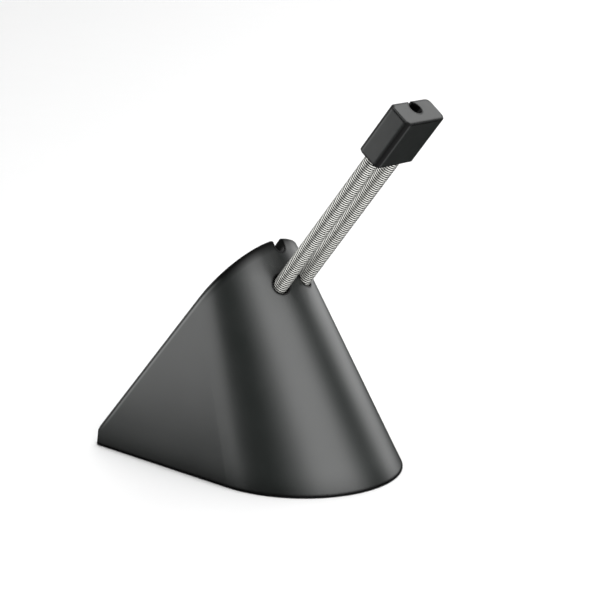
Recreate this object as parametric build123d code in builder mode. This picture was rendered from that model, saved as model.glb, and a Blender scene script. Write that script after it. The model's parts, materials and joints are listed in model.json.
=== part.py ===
# Mouse bungee: a weighted desk stand whose two coil springs carry a rubber cable holder.
#
# Millimetres, +Z up. The arm leans towards +X and the part is symmetric about Y = 0.
# The origin lies on the desk, under the middle of the overall length.
# Left is +Y and right is -Y, as seen by someone who looks along +X.

import os
from math import cos, radians, sin, sqrt, tan

from build123d import *

os.makedirs("parts", exist_ok=True)

# Housing form: a nose that is part of a leaning cone, two flat sides and a sloped back
nose_x = 5.435             # where the cone's axis meets the housing's lower edge
nose_radius = 34.1         # cone radius there, square to its axis
nose_taper = 10.0          # cone side to its axis, in degrees
nose_lean = 20.8           # cone axis from the vertical, towards -X, in degrees
side_angle = 89.0          # where the nose runs into the flat sides, in degrees from +X
housing_back = 64.5        # nose_x to the back edge
back_edge_height = 5.15    # upright band under the sloped back
back_slope = 51.0          # sloped back above the horizontal, in degrees
desk_gap = 0.4             # desk to the housing's lower edge
wall = 2.2
rim_edge = 0.8             # chamfer around the sloped back
back_corner = 0.8          # chamfer of the upright back corners

# Cable groove: a notch through the crest that runs out down the sloped back
groove_width = 4.6
groove_depth = 4.65        # square to the back, at the crest
groove_run_out = 12.0      # from the back edge to where the groove starts, along the slope
groove_wall = 1.8

# Spring arm
arm_tilt = 39.3            # from the vertical, towards +X, in degrees
exit_drop = 13.6           # crest to where the springs leave the nose, in height
spring_spacing = 12.15
spring_diameter = 5.2
wire_diameter = 0.8
free_length = 59.4         # nose to head, along the arm
socket_depth = 24.0
socket_wall = 1.6
socket_clearance = 0.12
mouth_clearance = 0.45     # around a spring where it leaves its socket
mouth_depth = 2.0

# Spring anchor: a bar with two pegs, screwed against the inner ends of the sockets
peg_clearance = 0.08
peg_length = 12.0
anchor_thickness = 3.0
anchor_depth = 8.0
anchor_bar_length = 35.0
anchor_screw_offset = 14.0
anchor_boss_radius = 3.2
anchor_boss_length = 11.0
web_thickness = 3.0

# Rubber head
head_width = 20.0
head_depth = 9.2
head_length = 19.1
head_corner = 2.0
head_edge = 0.4
head_grip = 8.0            # how far the springs reach into the head
cable_hole_radius = 2.4
cable_hole_offset = 1.5    # from the head's middle towards its back face
cable_slot_width = 2.0

# Core inside the head
core_cap_radius = 2.7
core_cap_length = 4.0
core_peg_length = 10.0
core_bridge_thickness = 1.5
core_bridge_offset = 2.55  # from the head's middle towards its front face
moulding_clearance = 0.03

# Bottom plate, its screws and the feet over them
plate_recess = 0.6         # housing's lower edge to the plate
plate_thickness = 2.0
plate_clearance = 0.2
front_screw_inset = 10.0   # nose radius to screw
front_screw_angle = 55.0   # from +X
rear_screw_inset = 11.0    # back edge to screw
rear_screw_side = 14.0     # nose radius to screw, in Y
boss_radius = 3.5
boss_height = 16.0
foot_length = 12.0
foot_width = 8.0
foot_corner = 1.5
foot_recess = 0.6
foot_clearance = 0.2

# Self-tapping screws
screw_radius = 1.4
screw_clearance = 0.25     # shank in a plain hole
thread_clearance = 0.05    # shank in its pilot hole
cover_screw_length = 11.0
cover_head_radius = 2.7
anchor_screw_length = 11.0
anchor_head_radius = 2.8
anchor_head_height = 1.8
drive_radius = 1.0
drive_depth = 0.8

# Ballast: two stamped steel plates over posts of the bottom plate
ballast_thickness = 5.0
ballast_front = 18.6       # from nose_x
ballast_back = -45.4
ballast_width = 33.0
ballast_front_corner = 9.0
ballast_back_corner = 3.0
post_front = 8.6           # from nose_x
post_back = -35.4
post_radius = 3.5
post_clearance = 0.2
post_shortfall = 0.2       # below the ballast's top, so that the screws clamp it
ballast_screw_length = 9.0
ballast_head_radius = 5.0
ballast_head_height = 2.0

# Places that follow from the sizes above
lean = radians(nose_lean)
taper = radians(nose_taper)
side = radians(side_angle)
slope = radians(back_slope)
tilt = radians(arm_tilt)
back_x = nose_x - housing_back
edge_z = desk_gap + back_edge_height
lean_axis = Vector(-sin(lean), 0, cos(lean))
lean_plane = Plane(origin=(nose_x, 0, desk_gap), x_dir=(cos(lean), 0, sin(lean)), z_dir=lean_axis)

# The nose's front line starts at nose_front and meets the sloped back at the crest
front_run = tan(lean + taper)
nose_front = nose_x + nose_radius / (cos(lean) - tan(taper) * sin(lean))
crest_z = desk_gap + (back_edge_height + (nose_front - back_x) * tan(slope)) / (
    1 + front_run * tan(slope)
)
crest_x = back_x + (crest_z - edge_z) / tan(slope)


def housing_solid(lower_z, inset=0.0):
    """Housing form from a height upwards, inset from the outer skin."""
    start = nose_radius
    radius = nose_radius + start * tan(taper) - inset / cos(taper)
    tail = -housing_back - nose_radius
    half_width = (radius - tail * cos(side)) / sin(side)
    drop = inset / cos(slope)
    top_z = crest_z + wall
    back = back_x + inset
    with BuildPart() as form:
        with BuildSketch(lean_plane.offset(-start)):
            with BuildLine():
                nose = CenterArc((0, 0), radius, -side_angle, 2 * side_angle)
                Polyline(nose @ 1, (tail, half_width), (tail, -half_width), nose @ 0)
            make_face()
        extrude(amount=start + crest_z, taper=nose_taper)
        with BuildSketch(Plane.XZ):
            with BuildLine():
                Polyline(
                    (back, lower_z),
                    (nose_front + wall, lower_z),
                    (nose_front + wall, top_z),
                    (back_x + (top_z - edge_z + drop) / tan(slope), top_z),
                    (back, edge_z - drop + inset * tan(slope)),
                    close=True,
                )
            make_face()
        extrude(amount=2 * nose_radius, both=True, mode=Mode.INTERSECT)
    return form.part


def nose_skin_x(z, y):
    """X of the nose's skin at a height above the desk and a distance from the middle."""
    height = z - desk_gap
    radius = nose_radius - height * cos(lean) * tan(taper)
    gain = sin(lean) * tan(taper)
    a = cos(lean) ** 2 - gain**2
    b = cos(lean) * sin(lean) * height - radius * gain
    c = (height * sin(lean)) ** 2 + y**2 - radius**2
    return nose_x + (sqrt(b**2 - a * c) - b) / a


# Arm planes: local X is the part's +Y, local Y points square to the arm, up and back
exit_height = crest_z - exit_drop
exit_x = nose_skin_x(exit_height, spring_spacing / 2)
arm_direction = Vector(sin(tilt), 0, cos(tilt))
arm_plane = Plane(origin=(exit_x, 0, exit_height), x_dir=(0, 1, 0), z_dir=arm_direction)
spring_places = [(-spring_spacing / 2, 0), (spring_spacing / 2, 0)]
spring_radius = spring_diameter / 2
spring_bore = spring_radius - wire_diameter
peg_radius = spring_bore - peg_clearance
anchor_screw_places = [(-anchor_screw_offset, 0), (anchor_screw_offset, 0)]

# Levels of the bottom plate and what stands on it
plate_z = desk_gap + plate_recess
plate_top = plate_z + plate_thickness
foot_top = plate_z + foot_recess
cover_head_height = plate_top - foot_top
ballast_top = plate_top + 2 * ballast_thickness
front_reach = nose_radius - front_screw_inset
front_screw_x = nose_x + front_reach * cos(radians(front_screw_angle))
front_screw_y = front_reach * sin(radians(front_screw_angle))
rear_screw_x = back_x + rear_screw_inset
rear_screw_y = nose_radius - rear_screw_side
cover_screw_places = [
    (front_screw_x, -front_screw_y),
    (front_screw_x, front_screw_y),
    (rear_screw_x, -rear_screw_y),
    (rear_screw_x, rear_screw_y),
]
post_places = [(nose_x + post_back, 0), (nose_x + post_front, 0)]

# Groove line: it starts on the sloped back and sinks to its full depth at the crest
slope_length = (crest_x - back_x) / cos(slope)
groove_start = (
    back_x + groove_run_out * cos(slope),
    0,
    edge_z + groove_run_out * sin(slope),
)
groove_angle = slope - groove_depth / (slope_length - groove_run_out)
groove_plane = Plane(
    origin=groove_start, x_dir=(0, 1, 0), z_dir=(cos(groove_angle), 0, sin(groove_angle))
)


def groove_section(radius, height):
    """Section of the groove or of its wall: a round floor with straight sides."""
    with BuildSketch(groove_plane.offset(-groove_run_out / 2)) as section:
        with Locations((0, groove_width / 2)):
            Circle(radius)
            Rectangle(2 * radius, height, align=(Align.CENTER, Align.MIN))
    return section.sketch


# Outer form of the housing, with its eased edges
housing_blank = housing_solid(desk_gap)
with BuildPart() as housing_form:
    add(housing_blank)
    back_face = housing_form.faces().sort_by(Axis.X)[0]
    across = back_face.edges().sort_by(Axis.Y)
    chamfer([across[0], across[-1]], length=back_corner)
    slope_axis = Axis((0, 0, 0), (-sin(slope), 0, cos(slope)))
    sloped_back = housing_form.faces().sort_by(slope_axis)[-1]
    chamfer(sloped_back.edges(), length=rim_edge)

# Hollow inside the walls, open below, and the form that trims what is moulded inside it
hollow = housing_solid(desk_gap - wall, wall)
trim_form = housing_solid(desk_gap, wall / 2)

# What is moulded inside the hollow: spring sockets, anchor bosses, screw bosses, groove wall
with BuildPart() as inner_mouldings:
    with BuildSketch(arm_plane.offset(-socket_depth)):
        with Locations(*spring_places):
            Circle(spring_radius + socket_clearance + socket_wall)
    extrude(amount=socket_depth + 2 * wall)
    with BuildSketch(arm_plane.offset(-socket_depth)):
        Rectangle(2 * anchor_screw_offset, web_thickness)
        with Locations(*anchor_screw_places):
            Circle(anchor_boss_radius)
    extrude(amount=anchor_boss_length)
    with BuildSketch(Plane.XY.offset(plate_top)):
        with Locations(*cover_screw_places):
            Circle(boss_radius)
    extrude(amount=boss_height)
    add(extrude(groove_section(groove_width / 2 + groove_wall, groove_width),
                amount=2 * slope_length, mode=Mode.PRIVATE))
    add(trim_form, mode=Mode.INTERSECT)

# Base shell: the one-piece moulded housing
with BuildPart() as base_shell:
    add(housing_form.part)
    add(hollow, mode=Mode.SUBTRACT)
    add(inner_mouldings.part)
    add(extrude(groove_section(groove_width / 2, 2 * groove_depth),
                amount=2 * slope_length, mode=Mode.PRIVATE), mode=Mode.SUBTRACT)
    with BuildSketch(arm_plane.offset(-socket_depth)):
        with Locations(*spring_places):
            Circle(spring_radius + socket_clearance)
    extrude(amount=socket_depth + 4 * wall, mode=Mode.SUBTRACT)
    with BuildSketch(arm_plane.offset(-mouth_depth)):
        with Locations(*spring_places):
            Circle(spring_radius + mouth_clearance)
    extrude(amount=mouth_depth + 4 * wall, mode=Mode.SUBTRACT)
    with BuildSketch(arm_plane.offset(-socket_depth)):
        with Locations(*anchor_screw_places):
            Circle(screw_radius + thread_clearance)
    extrude(amount=anchor_boss_length - 1, mode=Mode.SUBTRACT)
    with BuildSketch(Plane.XY.offset(plate_top)):
        with Locations(*cover_screw_places):
            Circle(screw_radius + thread_clearance)
    extrude(amount=cover_screw_length, mode=Mode.SUBTRACT)
base_shell.part.label = "base_shell"
export_step(base_shell.part, "parts/base_shell.step")

# Coil springs: close-wound, so each one is a tube as thick as its wire
spring_length = socket_depth + free_length + head_grip
for name, y in (("left_spring", spring_spacing / 2), ("right_spring", -spring_spacing / 2)):
    with BuildPart() as spring:
        with BuildSketch(arm_plane.offset(-socket_depth)):
            with Locations((y, 0)):
                Circle(spring_radius)
                Circle(spring_bore, mode=Mode.SUBTRACT)
        extrude(amount=spring_length)
    spring.part.label = name
    export_step(spring.part, f"parts/{name}.step")

# Spring anchor: its pegs fill the springs' lower ends
with BuildPart() as spring_anchor:
    with BuildSketch(arm_plane.offset(-socket_depth - anchor_thickness)):
        Rectangle(anchor_bar_length, anchor_depth)
        with Locations(*anchor_screw_places):
            Circle(screw_radius + screw_clearance, mode=Mode.SUBTRACT)
    extrude(amount=anchor_thickness)
    with BuildSketch(arm_plane.offset(-socket_depth)):
        with Locations(*spring_places):
            Circle(peg_radius)
    extrude(amount=peg_length)
spring_anchor.part.label = "spring_anchor"
export_step(spring_anchor.part, "parts/spring_anchor.step")

# Anchor screws, with their hexagon heads under the bar
with BuildPart() as anchor_screws:
    under_bar = arm_plane.offset(-socket_depth - anchor_thickness)
    with BuildSketch(under_bar):
        with Locations(*anchor_screw_places):
            Circle(screw_radius)
    extrude(amount=anchor_screw_length)
    with BuildSketch(under_bar):
        with Locations(*anchor_screw_places):
            RegularPolygon(anchor_head_radius, 6)
    extrude(amount=-anchor_head_height)
anchor_screws.part.label = "anchor_screws"
export_step(anchor_screws.part, "parts/anchor_screws.step")


def core_section(growth=0.0):
    """Section of the head core: two caps over the springs and a bridge in front of the hole."""
    with BuildSketch(arm_plane.offset(free_length + head_grip - growth)) as section:
        with Locations(*spring_places):
            Circle(core_cap_radius + growth)
        with Locations((0, -core_bridge_offset)):
            Rectangle(spring_spacing, core_bridge_thickness + 2 * growth)
    return section.sketch


# Head core: holds the two springs' upper ends together inside the rubber
with BuildPart() as head_core:
    add(extrude(core_section(), amount=core_cap_length, mode=Mode.PRIVATE))
    with BuildSketch(arm_plane.offset(free_length + head_grip - core_peg_length)):
        with Locations(*spring_places):
            Circle(peg_radius)
    extrude(amount=core_peg_length)
head_core.part.label = "head_core"
export_step(head_core.part, "parts/head_core.step")

# Cable head: a rubber block with a round cable hole and a slot to press the cable in
with BuildPart() as cable_head:
    with BuildSketch(arm_plane.offset(free_length)):
        RectangleRounded(head_width, head_depth, head_corner)
    extrude(amount=head_length)
    along_arm = Axis(arm_plane.origin, arm_direction)
    head_ends = cable_head.faces().sort_by(along_arm)
    chamfer(head_ends[0].edges() + head_ends[-1].edges(), length=head_edge)
    with BuildSketch(arm_plane.offset(free_length - 1)):
        with Locations((0, cable_hole_offset)):
            Circle(cable_hole_radius)
            Rectangle(cable_slot_width, head_depth, align=(Align.CENTER, Align.MIN))
    extrude(amount=head_length + 2, mode=Mode.SUBTRACT)
    with BuildSketch(arm_plane.offset(free_length - 1)):
        with Locations(*spring_places):
            Circle(spring_radius + moulding_clearance)
    extrude(amount=head_grip + 1, mode=Mode.SUBTRACT)
    add(extrude(core_section(moulding_clearance), amount=core_cap_length + 2 * moulding_clearance,
                mode=Mode.PRIVATE), mode=Mode.SUBTRACT)
cable_head.part.label = "cable_head"
export_step(cable_head.part, "parts/cable_head.step")


def foot_outline(place, z, growth=0.0):
    """Outline of a foot: a strip with clipped corners."""
    with BuildSketch(Plane.XY.offset(z)) as outline:
        with Locations(place):
            Rectangle(foot_length + 2 * growth, foot_width + 2 * growth)
        chamfer(outline.vertices(), length=foot_corner)
    return outline.sketch


# Bottom plate: closes the housing, with posts for the ballast
plate_blank = housing_solid(plate_z, wall + plate_clearance)
with BuildPart() as bottom_plate:
    add(plate_blank)
    split(bisect_by=Plane.XY.offset(plate_top), keep=Keep.BOTTOM)
    with BuildSketch(Plane.XY.offset(plate_top)):
        with Locations(*post_places):
            Circle(post_radius)
    extrude(amount=2 * ballast_thickness - post_shortfall)
    for place in cover_screw_places:
        add(extrude(foot_outline(place, plate_z, foot_clearance), amount=foot_recess,
                    mode=Mode.PRIVATE), mode=Mode.SUBTRACT)
    with Locations(*[(x, y, foot_top) for x, y in cover_screw_places]):
        Cone(cover_head_radius + screw_clearance, screw_radius + screw_clearance,
             cover_head_height, align=(Align.CENTER, Align.CENTER, Align.MIN),
             mode=Mode.SUBTRACT)
    with BuildSketch(Plane.XY.offset(plate_top)):
        with Locations(*post_places):
            Circle(screw_radius + thread_clearance)
    extrude(amount=2 * ballast_thickness, mode=Mode.SUBTRACT)
bottom_plate.part.label = "bottom_plate"
export_step(bottom_plate.part, "parts/bottom_plate.step")

# Cover screws: countersunk heads in the plate, shanks in the housing's bosses
with BuildPart() as cover_screws:
    with BuildSketch(Plane.XY.offset(foot_top)):
        with Locations(*cover_screw_places):
            Circle(screw_radius)
    extrude(amount=cover_screw_length)
    with Locations(*[(x, y, foot_top) for x, y in cover_screw_places]):
        Cone(cover_head_radius, screw_radius, cover_head_height,
             align=(Align.CENTER, Align.CENTER, Align.MIN))
    with BuildSketch(Plane.XY.offset(foot_top)):
        with Locations(*cover_screw_places):
            RegularPolygon(drive_radius, 6)
    extrude(amount=drive_depth, mode=Mode.SUBTRACT)
cover_screws.part.label = "cover_screws"
export_step(cover_screws.part, "parts/cover_screws.step")

# Rubber feet: pads in the plate's recesses, over the screw heads
foot_names = ("front_right_foot", "front_left_foot", "rear_right_foot", "rear_left_foot")
for name, place in zip(foot_names, cover_screw_places):
    with BuildPart() as rubber_foot:
        add(extrude(foot_outline(place, 0), amount=foot_top, mode=Mode.PRIVATE))
    rubber_foot.part.label = name
    export_step(rubber_foot.part, f"parts/{name}.step")

# Ballast plates: alike, one on the other, over the bottom plate's posts
for name, z in (
    ("lower_ballast_plate", plate_top),
    ("upper_ballast_plate", plate_top + ballast_thickness),
):
    with BuildPart() as ballast:
        with BuildSketch(Plane.XY.offset(z)) as outline:
            middle = nose_x + (ballast_front + ballast_back) / 2
            with Locations((middle, 0)):
                Rectangle(ballast_front - ballast_back, ballast_width)
            corners = outline.vertices().group_by(Axis.X)
            chamfer(corners[-1], length=ballast_front_corner)
            chamfer(corners[0], length=ballast_back_corner)
            with Locations(*post_places):
                Circle(post_radius + post_clearance, mode=Mode.SUBTRACT)
        extrude(amount=ballast_thickness)
    ballast.part.label = name
    export_step(ballast.part, f"parts/{name}.step")

# Ballast screws: wide hexagon heads that clamp the plates, shanks in the posts
with BuildPart() as ballast_screws:
    with BuildSketch(Plane.XY.offset(ballast_top)):
        with Locations(*post_places):
            Circle(screw_radius)
    extrude(amount=-ballast_screw_length)
    with BuildSketch(Plane.XY.offset(ballast_top)):
        with Locations(*post_places):
            RegularPolygon(ballast_head_radius, 6)
    extrude(amount=ballast_head_height)
ballast_screws.part.label = "ballast_screws"
export_step(ballast_screws.part, "parts/ballast_screws.step")
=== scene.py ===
"""Looks of the mouse bungee: wound springs, materials, floor, light and camera.

Metres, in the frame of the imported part: +Z up, the arm leans towards +X.
"""

import json
from math import cos, pi, radians, sin

import bpy
from mathutils import Matrix, Vector


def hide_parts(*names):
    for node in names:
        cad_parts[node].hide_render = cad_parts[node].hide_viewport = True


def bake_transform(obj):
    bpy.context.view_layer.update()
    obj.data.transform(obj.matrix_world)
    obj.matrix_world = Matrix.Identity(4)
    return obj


MM = 0.001

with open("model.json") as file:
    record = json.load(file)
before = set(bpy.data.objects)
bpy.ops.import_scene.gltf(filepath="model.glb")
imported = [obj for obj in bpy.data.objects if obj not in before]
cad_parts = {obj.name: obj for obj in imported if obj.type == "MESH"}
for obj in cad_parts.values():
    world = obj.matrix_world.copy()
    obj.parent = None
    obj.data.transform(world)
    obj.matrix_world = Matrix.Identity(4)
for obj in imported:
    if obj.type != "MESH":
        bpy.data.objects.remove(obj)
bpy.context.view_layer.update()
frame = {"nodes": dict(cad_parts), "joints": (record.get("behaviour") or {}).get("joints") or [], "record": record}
nodes = frame["nodes"]
record = frame["record"]
joints = {joint["name"]: joint for joint in frame["joints"]}

# Spring and head sizes, as in the part
WIRE_DIAMETER = 0.8 * MM
SPRING_DIAMETER = 5.2 * MM
SPRING_SPACING = 12.15 * MM
SOCKET_DEPTH = 24.0 * MM
FREE_LENGTH = 59.4 * MM
HEAD_GRIP = 8.0 * MM
HEAD_WIDTH = 20.0 * MM
HEAD_DEPTH = 9.2 * MM
HEAD_CORNER = 2.0 * MM
TURNS = 113
NOD_SHARE = 1 / 6           # of the free length, from the nose to the nod's pivot

# Top line of the housing's low back edge, and the slope that rises from it
BACK_EDGE = Vector((-59.065, 0, 5.15)) * MM
BACK_SLOPE = radians(51)
BACK_INWARDS = Vector((sin(BACK_SLOPE), 0, -cos(BACK_SLOPE)))

# Mesh of the wound wire
SPLIT_TURN = 57             # where the lower piece of a spring ends and the upper one starts
TURN_STEPS = 28
WIRE_STEPS = 12

# The arm's line starts where the springs leave the nose, and both pivots lie on it
nod_pivot = Vector(joints["arm_nod"]["pos_m"])
sway_pivot = Vector(joints["arm_sway"]["pos_m"])
arm_up = (sway_pivot - nod_pivot).normalized()
arm_side = Vector((0, 1, 0))
arm_front = arm_side.cross(arm_up)
arm_exit = nod_pivot - arm_up * (FREE_LENGTH * NOD_SHARE)


def on_arm(distance, y=0.0):
    """Point on a spring's axis, at a distance along the arm from the nose."""
    return arm_exit + arm_up * distance + arm_side * y


def direction(azimuth, elevation):
    """Unit vector from the part, by degrees from +X towards +Y and above the floor."""
    a = radians(azimuth)
    e = radians(elevation)
    return Vector((cos(a) * cos(e), sin(a) * cos(e), sin(e)))


def within(outer, inner):
    """Cosines where a patch around a direction begins and is full, from angles in degrees."""
    return cos(radians(outer)), cos(radians(inner))


def grey(level):
    """A neutral colour."""
    return (level, level, level)


def mesh_object(name, vertices, faces):
    """New mesh object with smooth faces, in the scene's collection."""
    mesh = bpy.data.meshes.new(name)
    mesh.from_pydata(vertices, [], faces)
    mesh.polygons.foreach_set("use_smooth", [True] * len(mesh.polygons))
    mesh.update()
    piece = bpy.data.objects.new(name, mesh)
    bpy.context.scene.collection.objects.link(piece)
    return piece


def wound_wire(name, y, first_turn, last_turn):
    """A stretch of close-wound wire, from one turn of the spring to another.

    Its attribute "crest" is 1 on the coil's outside and falls to 0 between the turns.
    """
    length = SOCKET_DEPTH + FREE_LENGTH + HEAD_GRIP
    pitch = (length - WIRE_DIAMETER) / TURNS
    coil_radius = (SPRING_DIAMETER - WIRE_DIAMETER) / 2
    wire_radius = WIRE_DIAMETER / 2
    start = on_arm(-SOCKET_DEPTH + wire_radius, y)
    vertices = []
    crests = []
    faces = []
    steps = (last_turn - first_turn) * TURN_STEPS
    for step in range(steps + 1):
        turn = first_turn + step / TURN_STEPS
        angle = 2 * pi * turn
        outward = arm_side * cos(angle) + arm_front * sin(angle)
        centre = start + arm_up * (pitch * turn) + outward * coil_radius
        for side in range(WIRE_STEPS):
            around = 2 * pi * side / WIRE_STEPS
            radial = outward * cos(around) + arm_up * sin(around)
            vertices.append(centre + radial * wire_radius)
            crests.append(max(0.0, cos(around)))
    for step in range(steps):
        for side in range(WIRE_STEPS):
            a = step * WIRE_STEPS + side
            b = step * WIRE_STEPS + (side + 1) % WIRE_STEPS
            faces.append((a, b, b + WIRE_STEPS, a + WIRE_STEPS))
    last_ring = steps * WIRE_STEPS
    faces.append(tuple(range(WIRE_STEPS)))
    faces.append(tuple(range(last_ring + WIRE_STEPS - 1, last_ring - 1, -1)))
    wire = mesh_object(name, vertices, faces)
    crest = wire.data.attributes.new("crest", "FLOAT", "POINT")
    crest.data.foreach_set("value", crests)
    return wire


# The range in which most of a noise's values lie
NOISE_LOW = 0.3
NOISE_HIGH = 0.7

# Sockets of the mix node, where names repeat
MIX_NUMBER_INPUTS = (2, 3)
MIX_NUMBER_OUTPUT = 0
MIX_COLOUR_INPUTS = (6, 7)
MIX_COLOUR_OUTPUT = 2


class Nodes:
    """A node tree, built one node at a time."""

    def __init__(self, tree):
        self.tree = tree

    def add(self, kind, **settings):
        """New node with its settings and its sockets' values or links."""
        node = self.tree.nodes.new(kind)
        for key, value in settings.items():
            if key in node.inputs:
                self.feed(node.inputs[key], value)
            else:
                setattr(node, key, value)
        return node

    def feed(self, socket, value):
        """Links an output into a socket, or sets its value."""
        if isinstance(value, bpy.types.NodeSocket):
            self.tree.links.new(value, socket)
        else:
            socket.default_value = value

    def feed_all(self, node, sockets, values):
        """Feeds some of a node's sockets, by their numbers."""
        for socket, value in zip(sockets, values):
            self.feed(node.inputs[socket], value)

    def between(self, factor, low, high, start=NOISE_LOW, end=NOISE_HIGH):
        """Maps a factor to a range of numbers."""
        node = self.add("ShaderNodeMapRange")
        ends = {"Value": factor, "From Min": start, "From Max": end, "To Min": low, "To Max": high}
        for key, value in ends.items():
            self.feed(node.inputs[key], value)
        return node.outputs["Result"]

    def maths(self, operation, first, second=0.0):
        """One sum of two numbers or outputs."""
        node = self.add("ShaderNodeMath", operation=operation)
        self.feed_all(node, (0, 1), (first, second))
        return node.outputs["Value"]

    def times(self, first, second):
        """The product of two numbers or outputs."""
        return self.maths("MULTIPLY", first, second)

    def offset(self, vector, origin):
        """A vector from an origin."""
        node = self.add("ShaderNodeVectorMath", operation="SUBTRACT")
        self.feed_all(node, (0, 1), (vector, origin))
        return node.outputs["Vector"]

    def along(self, vector, axis):
        """How far a vector reaches along an axis."""
        node = self.add("ShaderNodeVectorMath", operation="DOT_PRODUCT")
        self.feed_all(node, (0, 1), (vector, axis))
        return node.outputs["Value"]

    def mix(self, factor, first, second):
        """Blends two numbers by a factor."""
        node = self.add("ShaderNodeMix", data_type="FLOAT")
        self.feed(node.inputs[0], factor)
        self.feed_all(node, MIX_NUMBER_INPUTS, (first, second))
        return node.outputs[MIX_NUMBER_OUTPUT]


# How finely edges and hollows are sampled
EDGE_SAMPLES = 6
HOLLOW_SAMPLES = 6
FLOOR_SAMPLES = 8

# Cosines between the true and the rounded facing: painted edge shade full, and where it ends
FLAT_RANGE = (0.97, 0.999)


class Shader(Nodes):
    """A material's node tree."""

    def __init__(self, name):
        self.material = bpy.data.materials.new(name)
        self.material.use_nodes = True
        super().__init__(self.material.node_tree)
        self.surface = self.tree.nodes["Principled BSDF"]
        self.place = self.add("ShaderNodeTexCoord").outputs["Object"]

    def paint(self, **sockets):
        """Feeds the surface's sockets, named with _ for each space."""
        for key, value in sockets.items():
            self.feed(self.surface.inputs[key.replace("_", " ")], value)

    def noise(self, size, detail=3.0, roughness=0.5):
        """Noise with features of a size in metres."""
        node = self.add("ShaderNodeTexNoise", Vector=self.place, Scale=1 / size, Detail=detail,
                        Roughness=roughness)
        return node.outputs["Fac"]

    def colours(self, factor, first, second):
        """Blends two colours by a factor."""
        node = self.add("ShaderNodeMix", data_type="RGBA")
        self.feed(node.inputs["Factor"], factor)
        self.feed_all(node, MIX_COLOUR_INPUTS, [
            (*colour, 1) if isinstance(colour, tuple) else colour for colour in (first, second)])
        return node.outputs[MIX_COLOUR_OUTPUT]

    def mottled(self, dark, light, size, detail):
        """A colour that wanders between two, in patches of a size."""
        return self.colours(self.between(self.noise(size, detail), 0.0, 1.0), dark, light)

    def uneven(self, value, spread, size, detail):
        """A number that wanders by a spread, in patches of a size."""
        return self.between(self.noise(size, detail), value - spread, value + spread)

    def facing(self):
        """Direction in which the true surface faces."""
        return self.add("ShaderNodeNewGeometry").outputs["Normal"]

    def rounded(self, radius):
        """Direction in which the surface faces, with its edges rounded to a radius."""
        return self.add("ShaderNodeBevel", samples=EDGE_SAMPLES, Radius=radius).outputs["Normal"]

    def flatness(self, radius):
        """1 on open faces, falling to 0 along edges within a radius."""
        return self.between(self.along(self.rounded(radius), self.facing()), 0.0, 1.0, *FLAT_RANGE)

    def openness(self, reach, closed, open_air, samples=HOLLOW_SAMPLES):
        """0 in hollows and 1 in the open, by the share that is free within a reach."""
        node = self.add("ShaderNodeAmbientOcclusion", samples=samples, Distance=reach)
        return self.between(node.outputs["AO"], 0.0, 1.0, closed, open_air)

    def bump(self, height, strength, distance, edge=0.0):
        """Surface relief, over edges that are softened to a radius."""
        node = self.add("ShaderNodeBump", Height=height, Strength=strength, Distance=distance)
        if edge:
            self.feed(node.inputs["Normal"], self.rounded(edge))
        self.paint(Normal=node.outputs["Normal"])


# painted shade: the black that edges, hollows and the grooves between turns darken to
PAINTED_SHADE_BLACK = grey(0.003)         # edges, hollows and the grooves between turns

# Painted shade darkens the housing's rim near the crest. Depths go below the sloped back's plane.
RIM_STARTS = (56 * MM, 66 * MM)         # heights
RIM_DEPTHS = (0.7 * MM, 3.6 * MM)
# painted shade towards the crest itself, between these heights, down to a share of the light
CREST_HEIGHTS = (66 * MM, 75 * MM)
CREST_UNSHADED_SHARE = 0.5
BACK_FACING = (0.8, 0.95)               # cosines to the sloped back's own facing

# A painted highlight runs as a light line inside the sloped back's edge
HIGHLIGHT_COLOUR = (0.1, 0.105, 0.103)
HIGHLIGHT_RISES = (0.85 * MM, 1.2 * MM)      # depths
HIGHLIGHT_FALLS = (1.45 * MM, 2.0 * MM)
HIGHLIGHT_STARTS = (5 * MM, 12 * MM)         # heights
HIGHLIGHT_ENDS = (59 * MM, 66 * MM)


def below_slope(shader):
    """Height above the floor, and depth below the plane of the sloped back."""
    height = shader.along(shader.place, Vector((0, 0, 1)))
    return height, shader.along(shader.offset(shader.place, BACK_EDGE), BACK_INWARDS)


def slope_highlight(shader):
    """Painted highlight mask: 1 just inside the sloped back's edge, short of the crest, else 0."""
    height, depth = below_slope(shader)
    line = shader.maths("MINIMUM", shader.between(depth, 0.0, 1.0, *HIGHLIGHT_RISES),
                        shader.between(depth, 1.0, 0.0, *HIGHLIGHT_FALLS))
    ends = shader.times(shader.between(height, 0.0, 1.0, *HIGHLIGHT_STARTS),
                        shader.between(height, 1.0, 0.0, *HIGHLIGHT_ENDS))
    return shader.times(line, ends)


def crest_shade_mask(shader):
    """Mask for painted shade: 1 on most of the housing, less along its rim near and towards the crest."""
    height, depth = below_slope(shader)
    rim = shader.mix(shader.between(height, 0.0, 1.0, *RIM_STARTS), 1.0,
                     shader.between(depth, 0.0, 1.0, *RIM_DEPTHS))
    around = shader.times(rim, shader.between(height, 1.0, CREST_UNSHADED_SHARE, *CREST_HEIGHTS))
    on_back = shader.along(shader.facing(), -BACK_INWARDS)
    return shader.maths("MAXIMUM", around, shader.between(on_back, 0.0, 1.0, *BACK_FACING))


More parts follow.
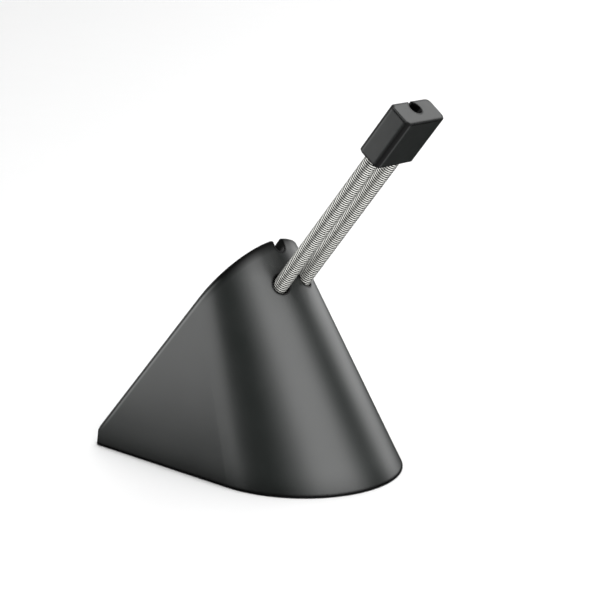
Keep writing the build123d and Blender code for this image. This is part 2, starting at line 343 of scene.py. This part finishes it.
def plastic(name, dark, light, roughness, grain, edge, housing=False):
    """Moulded plastic: a fine grain, softened edges, painted shade in hollows and along edges."""
    shader = Shader(name)
    skin = shader.mottled(dark, light, size=12 * MM, detail=4.0)
    # painted shade: the colour darkens to black in hollows and along edges, and on the housing near the crest
    openness = shader.times(shader.openness(reach=10 * MM, closed=0.53, open_air=0.94),
                            shader.flatness(edge * 1.5))
    if housing:
        # painted shade on the rim near the crest and towards the crest
        openness = shader.times(openness, crest_shade_mask(shader))
    skin = shader.colours(openness, PAINTED_SHADE_BLACK, skin)
    if housing:
        # painted highlight: a lighter line just inside the sloped back's edge
        skin = shader.colours(slope_highlight(shader), skin, HIGHLIGHT_COLOUR)
    shader.paint(Base_Color=skin,
                 Specular_IOR_Level=shader.between(openness, 0.04, 1.0, 0.0, 1.0),
                 Roughness=shader.uneven(roughness, spread=0.015, size=18 * MM, detail=2.0))
    shader.bump(shader.noise(0.25 * MM, detail=2.0), grain, 0.02 * MM, edge)
    return shader.material


def head_corner_shade_mask(shader):
    """Mask for painted shade: 1 on the head's flat faces, 0 on its four long rounded corners."""
    from_middle = shader.offset(shader.place, on_arm(FREE_LENGTH))
    across = shader.maths("ABSOLUTE", shader.along(from_middle, arm_side))
    through = shader.maths("ABSOLUTE", shader.along(from_middle, arm_front))
    depth = shader.maths("MINIMUM",
                         shader.maths("SUBTRACT", across, HEAD_WIDTH / 2 - HEAD_CORNER),
                         shader.maths("SUBTRACT", through, HEAD_DEPTH / 2 - HEAD_CORNER))
    return shader.between(depth, 1.0, 0.0, 0.4 * MM, 0.9 * MM)


def rubber(name, dark, light, roughness, edge, on_head=False):
    """Moulded rubber: a fine uneven skin, softened edges and painted shade along them."""
    shader = Shader(name)
    skin = shader.mottled(dark, light, size=4 * MM, detail=5.0)
    # painted shade: the colour darkens to black along edges and, on the head, on its long rounded corners and in
    # its hollows
    openness = shader.flatness(edge * 2)
    if on_head:
        openness = shader.times(openness, head_corner_shade_mask(shader))
        openness = shader.times(openness,
                                shader.openness(reach=14 * MM, closed=0.5, open_air=0.8))
    shader.paint(Base_Color=shader.colours(openness, PAINTED_SHADE_BLACK, skin),
                 Specular_IOR_Level=shader.between(openness, 0.1, 0.75, 0.0, 1.0),
                 Roughness=shader.uneven(roughness, spread=0.04, size=3 * MM, detail=3.0))
    shader.bump(shader.noise(0.4 * MM, detail=3.0), 0.25, 0.03 * MM, edge)
    return shader.material


def metal(name, dark, light, roughness, scratch=0.6 * MM, edge=0.0):
    """Plated or plain metal with slight changes of tone and gloss."""
    shader = Shader(name)
    shader.paint(Base_Color=shader.mottled(dark, light, size=3 * MM, detail=4.0),
                 Roughness=shader.uneven(roughness, spread=0.05, size=scratch, detail=3.0),
                 Metallic=1.0)
    shader.bump(shader.noise(scratch, detail=2.0), 0.1, 0.01 * MM, edge)
    return shader.material


def wound_metal(name, dark, light, roughness):
    """Satin plated wire, with painted shade in the grooves between its turns."""
    shader = Shader(name)
    crest = shader.add("ShaderNodeAttribute", attribute_name="crest").outputs["Fac"]
    # painted shade: the colour darkens to black in the grooves between the turns
    openness = shader.between(crest, 0.0, 1.0, 0.76, 0.97)
    plating = shader.mottled(dark, light, size=3 * MM, detail=4.0)
    shader.paint(Base_Color=shader.colours(openness, PAINTED_SHADE_BLACK, plating),
                 Metallic=shader.between(openness, 0.0, 0.6, 0.0, 1.0),
                 Specular_IOR_Level=shader.between(openness, 0.0, 0.5, 0.0, 1.0),
                 Roughness=roughness)
    return shader.material


def dress(piece, material):
    """Gives a piece one material."""
    piece.data.materials.clear()
    piece.data.materials.append(material)


# Materials, one for each of the record's slots
finishes = {
    "satin_plastic": plastic("satin_black_plastic", (0.0082, 0.0108, 0.0098),
                             (0.011, 0.0138, 0.0126), roughness=0.32, grain=0.2, edge=0.9 * MM,
                             housing=True),
    "plate_plastic": plastic("matt_black_plastic", grey(0.018), grey(0.026), roughness=0.55,
                             grain=0.6, edge=0.3 * MM),
    "inner_plastic": plastic("inner_black_plastic", grey(0.03), grey(0.04), roughness=0.5,
                             grain=0.3, edge=0.3 * MM),
    "spring_wire": wound_metal("nickel_wire", (0.94, 0.94, 0.89), (0.97, 0.97, 0.92),
                               roughness=0.2),
    "zinc_screw": metal("zinc_plate", (0.5, 0.5, 0.48), (0.62, 0.62, 0.6), roughness=0.32,
                        edge=0.2 * MM),
    "ballast_steel": metal("stamped_steel", grey(0.3), (0.4, 0.4, 0.39), roughness=0.42,
                           scratch=1.2 * MM, edge=0.4 * MM),
    "head_rubber": rubber("grey_black_rubber", (0.0095, 0.0118, 0.011), (0.0125, 0.0148, 0.0138),
                          roughness=0.34, edge=0.6 * MM, on_head=True),
    "foot_rubber": rubber("black_rubber", grey(0.012), grey(0.02), roughness=0.65,
                          edge=0.4 * MM),
}
slots = {part["node"]: part["material_slot"] for part in record["subparts"]}
for node_name, node in nodes.items():
    dress(node, finishes[slots[node_name]])

# Wound springs, each in two pieces
for spring_name, y in (("left_spring", SPRING_SPACING / 2), ("right_spring", -SPRING_SPACING / 2)):
    lower = wound_wire(f"{spring_name}_lower", y, 0, SPLIT_TURN)
    upper = wound_wire(f"{spring_name}_upper", y, SPLIT_TURN, TURNS)
    for piece in (lower, upper):
        dress(piece, finishes["spring_wire"])
        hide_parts(spring_name)
    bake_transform(lower)
    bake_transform(upper)

# Floor of white paper, with a painted contact shadow where the part stands close over it
FLOOR_REACH = 20.0          # from its middle to each side
floor = mesh_object("floor", [(-FLOOR_REACH, -FLOOR_REACH, 0), (FLOOR_REACH, -FLOOR_REACH, 0),
                              (FLOOR_REACH, FLOOR_REACH, 0), (-FLOOR_REACH, FLOOR_REACH, 0)],
                    [(0, 1, 2, 3)])
paper = Shader("white_paper")
sheet = paper.colours(paper.noise(50 * MM, detail=2.0), grey(0.93), grey(0.95))
# painted contact shadow: the paper darkens towards grey where the part stands close over it
outside_contact_shadow = paper.openness(reach=8 * MM, closed=0.45, open_air=0.7, samples=FLOOR_SAMPLES)
paper.paint(Base_Color=paper.colours(outside_contact_shadow, grey(0.12), sheet), Roughness=0.3)
dress(floor, paper.material)
floor.visible_glossy = False

# White paper stays white in the picture
bpy.context.scene.view_settings.view_transform = "Standard"

# Studio light: a room whose walls change from light to dark around the part, over a dark ground.
# Walls go by degrees from +X towards +Y, and heights by the sine of the elevation.
WALL_LEVELS = [
    (-180, 1.05), (-150, 1.1), (-124, 0.5), (-102, 0.04), (-70, 0.0), (-48, 0.8), (-30, 2.4),
    (14, 2.4), (32, 0.5), (44, 0.02), (58, 0.2), (70, 2.2), (108, 2.2), (128, 0.6), (145, 0.1),
    (162, 0.1), (180, 1.05),
]
HORIZON = (-0.10, 0.14)
CEILING_LEVEL = 2.1
CEILING = (0.7, 0.9)
GROUND_LEVEL = 0.02
FRONT_GROUND_LEVEL = 1.45               # a lighter patch of ground, which the springs reflect
FRONT_GROUND = direction(-20, -48)
FRONT_GROUND_RANGE = within(62, 38)
SHADE_LEVEL = 0.67                      # a darker patch of wall, which the head's end reflects
SHADE = direction(82, 41)
SHADE_RANGE = within(38, 16)

world = bpy.data.worlds.new("studio")
bpy.context.scene.world = world
world.use_nodes = True
room = Nodes(world.node_tree)
sight = room.add("ShaderNodeTexCoord").outputs["Generated"]
sky = room.add("ShaderNodeSeparateXYZ", Vector=sight)
azimuth = room.maths("ARCTAN2", sky.outputs["Y"], sky.outputs["X"])
walls = room.add("ShaderNodeValToRGB", Fac=room.between(azimuth, 0, 1, -pi, pi))
stops = walls.color_ramp.elements
while len(stops) < len(WALL_LEVELS):
    stops.new(0.5)
top_level = max(level for _, level in WALL_LEVELS)
for stop, (degrees, level) in zip(stops, WALL_LEVELS):
    stop.position = (degrees + 180) / 360
    stop.color = (*grey(level / top_level), 1)
shade = room.between(room.along(sight, SHADE), 1.0, SHADE_LEVEL, *SHADE_RANGE)
wall_light = room.times(room.times(walls.outputs["Color"], top_level), shade)
overhead = room.between(sky.outputs["Z"], 0, 1, *CEILING)
light = room.mix(overhead, wall_light, CEILING_LEVEL)
ground = room.between(room.along(sight, FRONT_GROUND), GROUND_LEVEL, FRONT_GROUND_LEVEL,
                      *FRONT_GROUND_RANGE)
above_horizon = room.between(sky.outputs["Z"], 0, 1, *HORIZON)
background = world.node_tree.nodes["Background"]
background.inputs["Color"].default_value = (1, 1, 1, 1)
room.feed(background.inputs["Strength"], room.mix(above_horizon, ground, light))

# A soft box beside the part's right flank, which only its gloss shows
FLANK = Vector((-25, -28, 30)) * MM
BOX_AZIMUTH = -131          # degrees, where the box stands as seen from the flank
BOX_DISTANCE = 150 * MM
BOX_SHIFT = 103.5 * MM      # sideways, towards the part's back
BOX_RISE = 60 * MM
BOX_WIDTH = 365 * MM
BOX_HEIGHT = 165 * MM
BOX_POWER = 0.22

towards_box = direction(BOX_AZIMUTH, 0)
flank_box = bpy.data.lights.new("flank_box", "AREA")
flank_box.shape = "RECTANGLE"
flank_box.size = BOX_WIDTH
flank_box.size_y = BOX_HEIGHT
flank_box.energy = BOX_POWER
flank_lamp = bpy.data.objects.new("flank_box", flank_box)
flank_lamp.location = (FLANK + towards_box * BOX_DISTANCE
                       + direction(BOX_AZIMUTH - 90, 0) * BOX_SHIFT + Vector((0, 0, BOX_RISE)))
flank_lamp.rotation_mode = "QUATERNION"
flank_lamp.rotation_quaternion = towards_box.to_track_quat("Z", "Y")
flank_lamp.visible_diffuse = False
flank_lamp.visible_camera = False
bpy.context.scene.collection.objects.link(flank_lamp)

# Camera, from a fit of the part's edges to the photograph
CAMERA_AZIMUTH = radians(39.346)
CAMERA_ELEVATION = radians(14.033)
CAMERA_DISTANCE = 562.5 * MM
CAMERA_ACROSS = 2.671 * MM
CAMERA_RISE = 54.624 * MM
FOCAL_PIXELS = 1638.9
IMAGE_PIXELS = 600
SENSOR = 36.0               # millimetres, as the camera's own settings count
CLIP_START = 10 * MM
NOSE_FOOT = Vector((5.435, 0, 0.4)) * MM

back = Vector((sin(CAMERA_AZIMUTH) * cos(CAMERA_ELEVATION),
               -cos(CAMERA_AZIMUTH) * cos(CAMERA_ELEVATION), sin(CAMERA_ELEVATION)))
right = Vector((cos(CAMERA_AZIMUTH), sin(CAMERA_AZIMUTH), 0))
up = back.cross(right)
lens = bpy.data.cameras.new("camera")
lens.sensor_width = SENSOR
lens.lens = FOCAL_PIXELS / IMAGE_PIXELS * SENSOR
lens.clip_start = CLIP_START
camera = bpy.data.objects.new("camera", lens)
turn = Matrix((right, up, back)).transposed().to_4x4()
place = NOSE_FOOT + right * CAMERA_ACROSS + up * CAMERA_RISE + back * CAMERA_DISTANCE
camera.matrix_world = Matrix.Translation(place) @ turn
bpy.context.scene.collection.objects.link(camera)
bpy.context.scene.camera = camera
